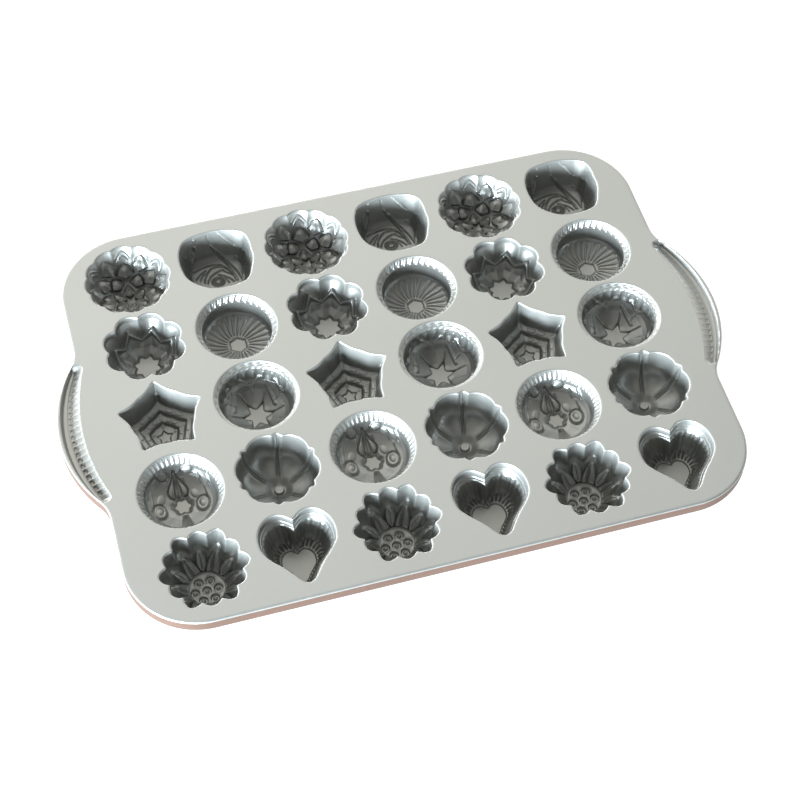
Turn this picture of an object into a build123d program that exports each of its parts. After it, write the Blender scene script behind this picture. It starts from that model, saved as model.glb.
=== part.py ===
from build123d import *
import math
import os

# Cast tea cake pan: thirty moulded cups hanging under a flat deck with a
# shallow turned edge and two crescent hand grips. Millimetres, +Z up.
# Origin: centre of the pan on the plane that the cup bottoms stand on.

# ---------------------------------------------------------------- dimensions
PITCH_X = 55.0          # cup spacing along the long axis
PITCH_Y = 51.2          # cup spacing across
COLS, ROWS = 6, 5
TOP = 26.0              # deck surface above the standing plane
DECK_T = 3.0            # deck thickness
HALF_X = 178.2          # body edge, long axis
HALF_Y = 135.1          # body edge, short axis
CORNER_R = 42.0
RIM_W = 4.0             # width of the thick edge
RIM_T = 8.0             # height of the thick edge
LAND = 1.25             # wall left around a cup mouth under the deck

GRIP_X0 = 168.0         # inner side of the grip region
GRIP_CX, GRIP_R = 115.3, 81.4      # bulge arc: centre on the X axis, radius
GRIP_FILLET = 20.0                 # hollow fillet from the body edge to the bulge
TROUGH_DEEP = 3.6
TROUGH_IN = (55.4, 127.05)         # arc on the deck side: centre x, radius
TROUGH_OUT = (106.15, 88.55)       # arc on the outer side: centre x, radius
TROUGH_END_Y = 44.0

UNDER = TOP - DECK_T    # underside of the deck


# ------------------------------------------------------- cup outlines, r(angle)
def lobed(n, r_tip, r_cusp, phase=0.0, power=2.0):
    def r(a):
        u = ((a - phase) / (360.0 / n) + 0.5) % 1.0 * 2.0 - 1.0
        return r_cusp + (r_tip - r_cusp) * (1.0 - abs(u) ** power)
    return r


def round_mouth(radius):
    return lambda a: radius


def sunflower(a):
    k = round(a / 30.0)
    u = (a - 30.0 * k) / 15.0
    tip = 24.6 if k % 2 == 0 else 23.0
    return 20.2 + (tip - 20.2) * (1.0 - abs(u) ** 1.7)


def pumpkin(a):
    v = (a - 18.0 + 30.0) % 60.0 - 30.0          # 0 on a narrow rib
    if abs(v) < 7.5:
        return 22.3 + 1.9 * (1.0 - abs(v) / 7.5)
    w = (abs(v) - 30.0) / 22.5                   # 0 in the middle of a lobe
    return 22.3 + 1.8 * (1.0 - abs(w) ** 2.2)


def star(a):
    u = abs((a - 90.0 + 36.0) % 72.0 - 36.0)     # 0 on a tip, 36 between tips
    tip, inner = 24.9, 18.3
    x0, y0 = tip, 0.0
    x1, y1 = inner * math.cos(math.radians(36)), inner * math.sin(math.radians(36))
    t = math.tan(math.radians(u))
    # straight side from tip to inner corner, then bowed inwards
    s = (t * x0) / (t * (x0 - x1) + y1) if u else 0.0
    px, py = x0 + (x1 - x0) * s, y0 + (y1 - y0) * s
    return math.hypot(px, py) - 1.1 * math.sin(math.pi * s) - (0.9 if u == 0 else 0.0)


HEART = [(0, 20.6), (20, 22.9), (35, 24.5), (50, 25.2), (63, 24.6), (74, 22.4),
         (83, 18.9), (90, 16.9), (97, 18.9), (106, 22.4), (117, 24.6), (130, 25.2),
         (145, 24.5), (160, 22.9), (180, 20.6), (195, 18.2), (210, 16.7), (224, 16.2),
         (240, 17.2), (252, 19.4), (262, 22.2), (270, 23.4), (278, 22.2), (288, 19.4),
         (300, 17.2), (316, 16.2), (330, 16.7), (345, 18.2)]
ROSE = [(0, 21.3), (12, 21.6), (25, 23.4), (40, 25.6), (52, 25.0), (66, 23.6),
        (85, 22.7), (105, 22.9), (120, 24.2), (134, 25.3), (148, 24.4), (165, 23.0),
        (182, 22.1), (205, 21.9), (225, 21.2), (250, 20.9), (275, 20.7), (292, 21.5),
        (308, 22.7), (320, 22.0), (332, 21.0), (345, 21.0)]


def table(points):
    def r(a):
        a %= 360.0
        pts = points + [(points[0][0] + 360.0, points[0][1])]
        for (a0, r0), (a1, r1) in zip(pts, pts[1:]):
            if a0 <= a <= a1:
                s = (a - a0) / (a1 - a0)
                return r0 + (r1 - r0) * (3 - 2 * s) * s * s
        return points[0][1]
    return r


# design: outline, sides of the mouth polygon, inner profile (depth, scale),
# outer bottom height above the standing plane
DESIGNS = {
    "zinnia": (lobed(12, 24.7, 23.2, 0.0, 2.2), 60,
               [(3, 1.0), (9, 0.92), (15, 0.74), (20, 0.42), (21.5, 0.22)], 0.0),
    "rose": (table(ROSE), 48,
             [(3, 1.0), (10, 0.90), (17, 0.70), (22.5, 0.36)], 0.0),
    "lily": (lobed(8, 24.0, 20.5, 22.5, 2.0), 48,
             [(3, 1.0), (9, 0.90), (17, 0.70), (21, 0.36)], 1.5),
    "swirl": (round_mouth(24.2), 48,
              [(3, 1.0), (9, 0.94), (14, 0.80), (17.6, 0.55), (18.8, 0.24)], 3.0),
    "star": (star, 40,
             [(3, 1.0), (10, 0.84), (17, 0.60), (22, 0.30)], 0.0),
    "rosette": (round_mouth(24.3), 48,
                [(3, 1.0), (9, 0.93), (15, 0.80), (18.5, 0.60), (20.2, 0.36)], 2.0),
    "medallion": (round_mouth(24.3), 48,
                  [(3, 1.0), (8, 0.93), (13, 0.78), (16.5, 0.48)], 5.5),
    "pumpkin": (pumpkin, 72,
                [(3, 1.0), (9, 0.95), (15, 0.84), (20, 0.58), (22, 0.26)], 0.0),
    "sunflower": (sunflower, 60,
                  [(3, 1.0), (12, 0.90), (19, 0.70), (23.2, 0.46)], 0.0),
    "heart": (table(HEART), 48,
              [(3, 1.0), (6, 0.94), (14, 0.78), (20.5, 0.47)], 2.0),
}
LAYOUT = [("zinnia", "rose"), ("lily", "swirl"), ("star", "rosette"),
          ("medallion", "pumpkin"), ("sunflower", "heart")]     # back row first


def polygon(radius_of, n, scale, z, cx, cy):
    return [(cx + scale * radius_of(360.0 * i / n) * math.cos(2 * math.pi * i / n),
             cy + scale * radius_of(360.0 * i / n) * math.sin(2 * math.pi * i / n), z)
            for i in range(n)]


def envelope(radius_of, n):
    # smooth outside of the wall: the widest radius within 8 degrees, plus the land
    def r(a):
        return LAND + max(radius_of(a + d) for d in (-8, -6, -4, -2, 0, 2, 4, 6, 8))
    return r


def flat(points):
    return Face(Wire.make_polygon([Vector(*p) for p in points], close=True))


def band(lower, upper):
    n = len(lower)
    return [flat([lower[i], lower[(i + 1) % n], upper[(i + 1) % n], upper[i]]) for i in range(n)]


def cup(design, cx, cy):
    radius_of, n, inner_profile, bottom = DESIGNS[design]
    outer_of = envelope(radius_of, n)
    inner = [polygon(radius_of, n, s, TOP - d, cx, cy) for d, s in inner_profile]
    span = UNDER - bottom
    outer = [polygon(outer_of, n, s, bottom + span * f, cx, cy)
             for f, s in ((1.0, 1.0), (0.74, 1.0), (0.48, 0.88), (0.24, 0.72), (0.0, 0.50))]
    faces = []
    for a, b in zip(inner, inner[1:]):
        faces += band(b, a)
    for a, b in zip(outer, outer[1:]):
        faces += band(b, a)
    faces.append(flat(inner[-1]))
    faces.append(flat(outer[-1]))
    top_out = Wire.make_polygon([Vector(*p) for p in outer[0]], close=True)
    top_in = Wire.make_polygon([Vector(*p) for p in inner[0]], close=True)
    faces.append(Face(top_out, [top_in]))
    return Solid(Shell(faces))


def mouth_prism(design, cx, cy):
    radius_of, n, _, _ = DESIGNS[design]
    base = flat(polygon(radius_of, n, 1.0, UNDER, cx, cy))
    return Solid.extrude(base, Vector(0, 0, DECK_T))


def centre(row, col):
    cx = (col - (COLS - 1) / 2) * PITCH_X
    cy = ((ROWS - 1) / 2 - row) * PITCH_Y
    if row == 4 and col == 0:
        cx += 2.3       # this one sits a little off the grid
    return cx, cy


os.makedirs("parts", exist_ok=True)
made = {}

# ---------------------------------------------------------------------- cups
for row in range(ROWS):
    for col in range(COLS):
        design = LAYOUT[row][col % 2]
        cx, cy = centre(row, col)
        made["cup_r%dc%d_%s" % (row + 1, col + 1, design)] = cup(design, cx, cy)

# ---------------------------------------------------------------------- deck
grip_half = math.sqrt((GRIP_R + GRIP_FILLET) ** 2 - (HALF_X + GRIP_FILLET - GRIP_CX) ** 2)
sheet = Pos(0, 0, UNDER) * extrude(
    RectangleRounded(2 * (HALF_X - RIM_W), 2 * (HALF_Y - RIM_W), CORNER_R - RIM_W), DECK_T)
for side in (-1, 1):
    sheet -= Pos(side * (GRIP_X0 + 20), 0, TOP) * Box(40, 2 * grip_half, 20)
for row in range(ROWS):
    y_hi = HALF_Y if row == 0 else ((ROWS - 1) / 2 - row + 0.5) * PITCH_Y
    y_lo = -HALF_Y if row == ROWS - 1 else ((ROWS - 1) / 2 - row - 0.5) * PITCH_Y
    strip = sheet & (Pos(0, (y_hi + y_lo) / 2, TOP) * Box(3 * HALF_X, y_hi - y_lo, 20))
    for col in range(COLS):
        strip -= mouth_prism(LAYOUT[row][col % 2], *centre(row, col))
    made["deck_row_%d" % (row + 1)] = strip

# ----------------------------------------------------------------- thick edge
ring = extrude(RectangleRounded(2 * HALF_X, 2 * HALF_Y, CORNER_R), RIM_T) - extrude(
    RectangleRounded(2 * (HALF_X - RIM_W), 2 * (HALF_Y - RIM_W), CORNER_R - RIM_W), RIM_T)
ring = Pos(0, 0, TOP - RIM_T) * ring
y_mid = (grip_half + HALF_Y + 10) / 2
keep = Box(4 * HALF_X, HALF_Y + 10 - grip_half, 20)
made["rim_back"] = ring & (Pos(0, y_mid, TOP) * keep)
made["rim_front"] = ring & (Pos(0, -y_mid, TOP) * keep)

# ---------------------------------------------------------------------- grips
tx = GRIP_CX + GRIP_R * (HALF_X + GRIP_FILLET - GRIP_CX) / (GRIP_R + GRIP_FILLET)
ty = GRIP_R * grip_half / (GRIP_R + GRIP_FILLET)


def on_fillet(sign):
    # middle of the hollow fillet arc
    fx, fy = HALF_X + GRIP_FILLET, sign * grip_half
    a0 = math.atan2(0, -1)
    a1 = math.atan2(sign * ty - fy, tx - fx)
    if a1 < 0 and sign > 0:
        a1 += 2 * math.pi
    if a1 > 0 and sign < 0:
        a0 = math.pi
    am = (a0 + a1) / 2
    return fx + GRIP_FILLET * math.cos(am), fy + GRIP_FILLET * math.sin(am)


def trough_section(side, width, end_y, z):
    def arc_x(arc, y):
        return arc[0] + math.sqrt(arc[1] ** 2 - y ** 2)
    pts = []
    rows = 14
    ys = [-end_y + 2 * end_y * i / rows for i in range(rows + 1)]
    for y in ys:
        a, b = arc_x(TROUGH_IN, y), arc_x(TROUGH_OUT, y)
        pts.append((side * ((a + b) / 2 + width * (b - a) / 2), y, z))
    a, b = arc_x(TROUGH_IN, end_y), arc_x(TROUGH_OUT, end_y)
    mid, half = (a + b) / 2, width * (b - a) / 2
    for q in (45, 90, 135):
        pts.append((side * (mid + half * math.cos(math.radians(q))), end_y + half * math.sin(math.radians(q)), z))
    for y in reversed(ys):
        a, b = arc_x(TROUGH_IN, y), arc_x(TROUGH_OUT, y)
        pts.append((side * ((a + b) / 2 - width * (b - a) / 2), y, z))
    for q in (135, 90, 45):
        pts.append((side * (mid + half * math.cos(math.radians(q))), -end_y - half * math.sin(math.radians(q)), z))
    return Wire.make_polygon([Vector(*p) for p in pts], close=True)


for side, name in ((-1, "grip_left"), (1, "grip_right")):
    s = side
    fx1, fy1 = on_fillet(1)
    outline = [
        Line((s * GRIP_X0, -grip_half), (s * GRIP_X0, grip_half)),
        Line((s * GRIP_X0, grip_half), (s * HALF_X, grip_half)),
        ThreePointArc((s * HALF_X, grip_half), (s * fx1, fy1), (s * tx, ty)),
        ThreePointArc((s * tx, ty), (s * (GRIP_CX + GRIP_R), 0), (s * tx, -ty)),
        ThreePointArc((s * tx, -ty), (s * fx1, -fy1), (s * HALF_X, -grip_half)),
        Line((s * HALF_X, -grip_half), (s * GRIP_X0, -grip_half)),
    ]
    face = make_face(outline)
    plate = Pos(0, 0, TOP - RIM_T) * extrude(face, RIM_T, dir=(0, 0, 1))
    trough = Solid.make_loft([trough_section(side, 1.0, TROUGH_END_Y, TOP + 0.01),
                              trough_section(side, 0.45, TROUGH_END_Y - 2.0, TOP - TROUGH_DEEP)], ruled=True)
    made[name] = plate - trough

# --------------------------------------------------------------------- export
for name, shape in made.items():
    export_step(shape, "parts/%s.step" % name)
print(len(made), "nodes")
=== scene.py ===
import bpy
import math
import numpy as np
from mathutils import Matrix, Vector
from mathutils.geometry import delaunay_2d_cdt


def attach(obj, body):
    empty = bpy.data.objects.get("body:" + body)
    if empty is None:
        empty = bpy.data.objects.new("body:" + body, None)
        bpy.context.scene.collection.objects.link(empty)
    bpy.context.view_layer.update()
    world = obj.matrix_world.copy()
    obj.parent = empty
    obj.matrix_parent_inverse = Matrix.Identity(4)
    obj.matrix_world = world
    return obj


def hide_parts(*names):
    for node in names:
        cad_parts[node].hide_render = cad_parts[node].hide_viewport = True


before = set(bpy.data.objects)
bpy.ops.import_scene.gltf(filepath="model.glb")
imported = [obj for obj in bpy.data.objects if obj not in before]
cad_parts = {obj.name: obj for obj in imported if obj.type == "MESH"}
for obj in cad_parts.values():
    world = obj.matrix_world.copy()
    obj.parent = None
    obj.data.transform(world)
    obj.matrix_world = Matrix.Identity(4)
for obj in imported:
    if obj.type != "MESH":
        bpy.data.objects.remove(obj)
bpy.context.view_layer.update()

MM = 0.001

# ------------------------------------------------------------------ dimensions
PITCH_X, PITCH_Y = 55.0, 51.2
COLS, ROWS = 6, 5
TOP, DECK_T = 26.0, 3.0
UNDER = TOP - DECK_T
HALF_X, HALF_Y, CORNER_R = 178.2, 135.1, 42.0
RIM_W, RIM_T = 4.0, 8.0
GRIP_X0, GRIP_CX, GRIP_R, GRIP_FILLET = 168.0, 115.3, 81.4, 20.0
TROUGH_IN, TROUGH_OUT, TROUGH_END_Y, TROUGH_DEEP = (55.4, 127.05), (106.15, 88.55), 44.0, 3.3
LIP = 1.05            # rounded lip of a mouth
RING = 1.25           # from the mouth outline to the edge of a cup piece on the deck
LAYOUT = [("zinnia", "rose"), ("lily", "swirl"), ("star", "rosette"),
          ("medallion", "pumpkin"), ("sunflower", "heart")]
BOTTOM = {"zinnia": 0.0, "rose": 0.0, "lily": 1.5, "swirl": 3.0, "star": 0.0,
          "rosette": 2.0, "medallion": 5.5, "pumpkin": 0.0, "sunflower": 0.0, "heart": 2.0}


SHELL_BOTTOM = {"heart": 1.0, "swirl": 2.8, "lily": 1.4, "rosette": 2.0}


def centre(row, col):
    cx = (col - (COLS - 1) / 2) * PITCH_X
    cy = ((ROWS - 1) / 2 - row) * PITCH_Y
    if row == 4 and col == 0:
        cx += 2.3
    return cx, cy


# --------------------------------------------------------------- small helpers
def wrap(a, period):
    return (a + period / 2.0) % period - period / 2.0


def sstep(x, lo=0.0, hi=1.0):
    t = np.clip((x - lo) / (hi - lo), 0.0, 1.0)
    return t * t * (3 - 2 * t)


def gauss(x, w):
    return np.exp(-(x / w) ** 2)


def ringsmooth(a, sigma_deg):
    """Circular Gaussian smoothing of samples spaced evenly round the circle."""
    n = a.shape[-1]
    k = np.fft.fftfreq(n, 1.0 / n)
    g = np.exp(-0.5 * (k * math.radians(sigma_deg)) ** 2)
    return np.real(np.fft.ifft(np.fft.fft(a, axis=-1) * g, axis=-1))


def soften(a, passes=1):
    """Averages a grid along its first axis, ends kept."""
    for _ in range(passes):
        b = a.copy()
        b[1:-1] = 0.25 * a[:-2] + 0.5 * a[1:-1] + 0.25 * a[2:]
        a = b
    return a


def segment_distance(x, y, pts):
    """Distance to a polyline, and the share of its length at the nearest point."""
    best = np.full(x.shape, 1e9)
    along = np.zeros(x.shape)
    total = sum(math.dist(a, b) for a, b in zip(pts, pts[1:]))
    run = 0.0
    for (x0, y0), (x1, y1) in zip(pts, pts[1:]):
        dx, dy = x1 - x0, y1 - y0
        ll = dx * dx + dy * dy
        t = np.clip(((x - x0) * dx + (y - y0) * dy) / ll, 0, 1)
        d = np.hypot(x - x0 - t * dx, y - y0 - t * dy)
        near = d < best
        along = np.where(near, (run + t * math.sqrt(ll)) / total, along)
        best = np.where(near, d, best)
        run += math.sqrt(ll)
    return best, along


def value_noise(x, y, scale, seed):
    """Smooth repeatable noise from -1 to 1."""
    rng = np.random.RandomState(seed)
    tab = rng.rand(64, 64) * 2 - 1
    u, v = x / scale, y / scale
    i, j = np.floor(u).astype(int), np.floor(v).astype(int)
    fu, fv = u - i, v - j
    fu, fv = fu * fu * (3 - 2 * fu), fv * fv * (3 - 2 * fv)
    a, b = tab[i % 64, j % 64], tab[(i + 1) % 64, j % 64]
    c, d = tab[i % 64, (j + 1) % 64], tab[(i + 1) % 64, (j + 1) % 64]
    return (a * (1 - fu) + b * fu) * (1 - fv) + (c * (1 - fu) + d * fu) * fv


# ------------------------------------------------------ mouth outlines, radius
def lobed(n, r_tip, r_cusp, phase=0.0, power=2.0):
    def r(a):
        u = ((a - phase) / (360.0 / n) + 0.5) % 1.0 * 2.0 - 1.0
        return r_cusp + (r_tip - r_cusp) * (1.0 - np.abs(u) ** power)
    return r


def round_mouth(radius):
    return lambda a: radius + 0.0 * a


def sunflower_outline(a):
    k = np.round(a / 30.0)
    u = (a - 30.0 * k) / 15.0
    tip = np.where(k % 2 == 0, 24.6, 23.0)
    return 20.2 + (tip - 20.2) * (1.0 - np.abs(u) ** 1.7)


def pumpkin_outline(a):
    v = (a - 18.0 + 30.0) % 60.0 - 30.0
    w = (np.abs(v) - 30.0) / 22.5
    return np.where(np.abs(v) < 7.5, 22.3 + 1.9 * (1.0 - np.abs(v) / 7.5),
                    22.3 + 1.8 * (1.0 - np.abs(w) ** 2.2))


def star_outline(tip, inner, bow):
    def r(a):
        u = np.abs((a - 90.0 + 36.0) % 72.0 - 36.0)
        x0 = tip
        x1, y1 = inner * math.cos(math.radians(36)), inner * math.sin(math.radians(36))
        t = np.tan(np.radians(u))
        s = (t * x0) / (t * (x0 - x1) + y1)
        px, py = x0 + (x1 - x0) * s, y1 * s
        return np.hypot(px, py) - bow * np.sin(np.pi * s)
    return r


HEART = [(0, 20.6), (20, 22.9), (35, 24.5), (50, 25.2), (63, 24.6), (74, 22.4),
         (83, 18.9), (90, 16.9), (97, 18.9), (106, 22.4), (117, 24.6), (130, 25.2),
         (145, 24.5), (160, 22.9), (180, 20.6), (195, 18.2), (210, 16.7), (224, 16.2),
         (240, 17.2), (252, 19.4), (262, 22.2), (270, 23.4), (278, 22.2), (288, 19.4),
         (300, 17.2), (316, 16.2), (330, 16.7), (345, 18.2)]
ROSE = [(0, 21.3), (12, 21.6), (25, 23.4), (40, 25.6), (52, 25.0), (66, 23.6),
        (85, 22.7), (105, 22.9), (120, 24.2), (134, 25.3), (148, 24.4), (165, 23.0),
        (182, 22.1), (205, 21.9), (225, 21.2), (250, 20.9), (275, 20.7), (292, 21.5),
        (308, 22.7), (320, 22.0), (332, 21.0), (345, 21.0)]


def table(points, corners=()):
    """Closed outline through (angle, radius) points, smooth except at the corners."""
    n = len(points)
    ang = [q[0] for q in points]
    rad = [q[1] for q in points]

    def slopes(i):
        a0, r0 = ang[i - 1] - (360.0 if i == 0 else 0.0), rad[i - 1]
        a2, r2 = ang[(i + 1) % n] + (360.0 if i == n - 1 else 0.0), rad[(i + 1) % n]
        left, right = (rad[i] - r0) / (ang[i] - a0), (r2 - rad[i]) / (a2 - ang[i])
        if ang[i] in corners:
            return left, right
        m = (r2 - r0) / (a2 - a0)
        return m, m

    def r(a):
        a = np.asarray(a, float) % 360.0
        out = np.zeros_like(a)
        for i in range(n):
            j = (i + 1) % n
            a0, a1 = ang[i], ang[j] + (360.0 if j == 0 else 0.0)
            m = (a >= a0) & (a <= a1)
            h = a1 - a0
            s = (a[m] - a0) / h
            m0, m1 = slopes(i)[1] * h, slopes(j)[0] * h
            out[m] = ((2 * s ** 3 - 3 * s ** 2 + 1) * rad[i] + (s ** 3 - 2 * s ** 2 + s) * m0
                      + (3 * s ** 2 - 2 * s ** 3) * rad[j] + (s ** 3 - s ** 2) * m1)
        return out
    return r


MOUTH = {
    "zinnia": lobed(12, 24.7, 23.2, 0.0, 2.2),
    "rose": table(ROSE),
    "lily": lobed(8, 24.0, 20.5, 22.5, 2.0),
    "swirl": round_mouth(24.2),
    "star": star_outline(24.9, 18.3, 1.1),
    "rosette": round_mouth(24.3),
    "medallion": round_mouth(24.3),
    "pumpkin": pumpkin_outline,
    "sunflower": sunflower_outline,
    "heart": table(HEART, (90, 270)),
}
SIDES = {"zinnia": 360, "rose": 360, "lily": 384, "swirl": 432, "star": 360,
         "rosette": 432, "medallion": 420, "pumpkin": 360, "sunflower": 384, "heart": 392}
TRIM = {"zinnia": -0.45, "lily": 0.35, "swirl": 0.7, "rosette": 0.3, "medallion": 0.55, "pumpkin": 0.8, "heart": 0.45}
ROUNDING = {"zinnia": 1.1, "rose": 0.8, "lily": 1.3, "swirl": 0.0, "star": 1.5,
            "rosette": 0.0, "medallion": 0.0, "pumpkin": 1.2, "sunflower": 1.2, "heart": 1.2}


def angles(design):
    n = SIDES[design]
    return np.arange(n) * (360.0 / n)


def mouth_radius(design):
    a = angles(design)
    r = MOUTH[design](a)
    s = ROUNDING[design]
    return (ringsmooth(r, s) if s else r) - TRIM.get(design, 0.0)


def mouth_offsets(design):
    """Mouth outline and a smooth outward direction at each of its points."""
    a = np.radians(angles(design))
    r = mouth_radius(design)
    p = np.stack([r * np.cos(a), r * np.sin(a)], 1)
    t = np.roll(p, -1, 0) - np.roll(p, 1, 0)
    n = np.stack([t[:, 1], -t[:, 0]], 1)
    n /= np.linalg.norm(n, axis=1, keepdims=True)
    n = np.stack([ringsmooth(n[:, 0], 3.0), ringsmooth(n[:, 1], 3.0)], 1)
    n /= np.linalg.norm(n, axis=1, keepdims=True)
    return p, n


def edge_loop(design):
    p, n = mouth_offsets(design)
    return p + n * max(RING + TRIM.get(design, 0.0), RING)


# ---------------------------------------------------------------- cup interiors
class Surface:
    """A base surface lofted between control rings from the lip to the centre,
    with a relief laid on it along its normals (positive into the cavity)."""

    def __init__(self, design, rings, step=0.42, smooth=1):
        self.a = angles(design)
        self.th = np.radians(self.a)
        full = [(np.broadcast_to(np.asarray(q[0], float), self.a.shape),
                 np.broadcast_to(np.asarray(q[1], float), self.a.shape)) for q in rings]
        rr, dd = [], []
        for (r0, d0), (r1, d1) in zip(full, full[1:]):
            n = max(1, int(math.ceil(float(np.mean(np.hypot(r1 - r0, d1 - d0))) / step)))
            for i in range(n):
                t = i / n
                rr.append(r0 + (r1 - r0) * t)
                dd.append(d0 + (d1 - d0) * t)
        rr.append(full[-1][0])
        dd.append(full[-1][1])
        self.R, self.D = soften(np.array(rr), smooth), soften(np.array(dd), smooth)
        self.prepare()
        self.h = np.zeros_like(self.R)

    def prepare(self):
        self.A = np.broadcast_to(self.a, self.R.shape)
        self.X, self.Y = self.R * np.cos(self.th), self.R * np.sin(self.th)
        step = np.hypot(np.diff(self.R, axis=0), np.diff(self.D, axis=0)).mean(1)
        self.S = np.broadcast_to(np.concatenate([[0], np.cumsum(step)])[:, None], self.R.shape)
        P = np.stack([self.X, self.Y, -self.D], -1)
        u = np.gradient(P, axis=0)
        v = np.roll(P, -1, 1) - np.roll(P, 1, 1)
        n = np.cross(v, u)
        n /= np.linalg.norm(n, axis=-1, keepdims=True) + 1e-9
        inward = np.stack([-self.X, -self.Y, 6.0 + 0 * self.X], -1)
        n *= np.sign(np.sum(n * inward, -1, keepdims=True))
        self.N = n

    def s_at(self, ang, depth):
        """Arc position where the base surface passes a depth, at an angle."""
        j = int(round(ang / 360.0 * len(self.a))) % len(self.a)
        return float(np.interp(depth, np.maximum.accumulate(self.D[:, j]), self.S[:, j]))

    def seen(self, kx, ky):
        """Where each point shows on the deck plane from the front above, and
        how squarely it faces that way."""
        v = np.array([kx, ky, 1.0])
        v /= np.linalg.norm(v)
        return self.X + kx * self.D, self.Y + ky * self.D, np.clip(self.N @ v, -1, 1)

    def points(self):
        h = self.h
        P = np.stack([self.X, self.Y, TOP - self.D], -1)
        return P + self.N * h[..., None]


def tread(f, n, phase, s0, length, half, lift, rim=0.3, keel=0.3, wide=0.60, power=1.1):
    """A ring of leaf-shaped steps: each rises from its arched top edge to its
    pointed lower end and drops back there."""
    m = np.radians(wrap(f.A - phase, 360.0 / n)) * f.R
    t = (f.S - s0) / length
    tt = np.clip(t, 0, 1)
    w = np.where(tt < wide, 1 - np.clip(1 - tt / wide, 0, 1) ** 1.9,
                 np.clip(1 - (np.maximum(tt - wide, 0) / (1 - wide)) ** power, 0, 1)) * half
    q = w - np.abs(m)
    live = sstep(t, -0.02, 0.03) * sstep(1.0 - t, -0.03, 0.03)
    inside = sstep(q, -0.16, 0.44) * live
    top = lift * (0.30 + 0.70 * tt) + keel * np.clip(1 - np.abs(m) / np.maximum(0.6 * half, 0.5), 0, 1) * sstep(t, 0.15, 0.5)
    top = top + rim * gauss(q - 0.30, 0.32) * sstep(0.85 - t, 0, 0.3) - 0.30 * gauss(q - 1.05, 0.38) * sstep(t, 0.05, 0.3)
    f.h = np.maximum(f.h, inside * top)
    return inside


def make_zinnia():
    R = mouth_radius("zinnia")
    sc = R - 24.0
    f = Surface("zinnia", [(R, LIP), (23.4 + sc, 2.2), (22.4 + 0.9 * sc, 4.4), (21.2 + 0.6 * sc, 8.0),
                           (19.6 + 0.3 * sc, 11.4), (17.7, 14.2), (15.6, 16.8), (13.2, 19.0), (10.6, 20.6),
                           (8.0, 21.7), (5.0, 22.4), (0.3, 23.7)], 0.38, 5)
    at = f.s_at
    # two raised arches on the wall above every petal of the third ring
    for d, w in ((2.9, 4.6), (5.4, 3.6)):
        m = np.radians(wrap(f.A - 30, 60.0)) * f.R
        q = f.S - at(30, d) - 3.4 * (np.abs(m) / w) ** 1.7
        f.h = np.maximum(f.h, 0.60 * gauss(q, 0.40) * sstep(w * 1.04 - np.abs(m), 0, 0.5))
    tread(f, 6, 0, at(0, 4.6), 11.2, 5.3, 3.2, rim=0.75, keel=0.9)
    tread(f, 6, 30, at(30, 10.0), 9.8, 5.8, 3.7, rim=0.85, keel=1.2)
    tread(f, 6, 0, at(0, 15.4), 9.0, 4.9, 3.0, rim=0.80, keel=1.2)
    tread(f, 6, 30, at(30, 20.2), 9.0, 3.9, 1.8, rim=0.60, keel=1.0)
    return f


def ridge(f, xs, ys, pts, size, width, face, fade=(0.0, 0.0), flat=0.0):
    """A raised (or cut) line along a polyline given where it shows from the front."""
    d, t = segment_distance(xs, ys, pts)
    m = gauss(np.maximum(d - flat, 0), width) * face
    if fade[0]:
        m = m * sstep(t, 0, fade[0])
    if fade[1]:
        m = m * sstep(1 - t, 0, fade[1])
    f.h += size * m


def oval(f, xs, ys, cx, cy, rx, ry, size, face, ring=0.0, turn=0.0):
    c, s = math.cos(math.radians(turn)), math.sin(math.radians(turn))
    u = ((xs - cx) * c + (ys - cy) * s) / rx
    v = (-(xs - cx) * s + (ys - cy) * c) / ry
    q = np.sqrt(u * u + v * v)
    f.h += size * np.sqrt(np.clip(1 - q * q, 0, 1)) * face
    if ring:
        f.h += ring * gauss((q - 1.0) * 0.5 * (rx + ry), 0.45) * face


def px(points, cx=795.5, s=0.03667):
    return [((x - cx) * s, (cx - y) * s) for x, y in points]


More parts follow.
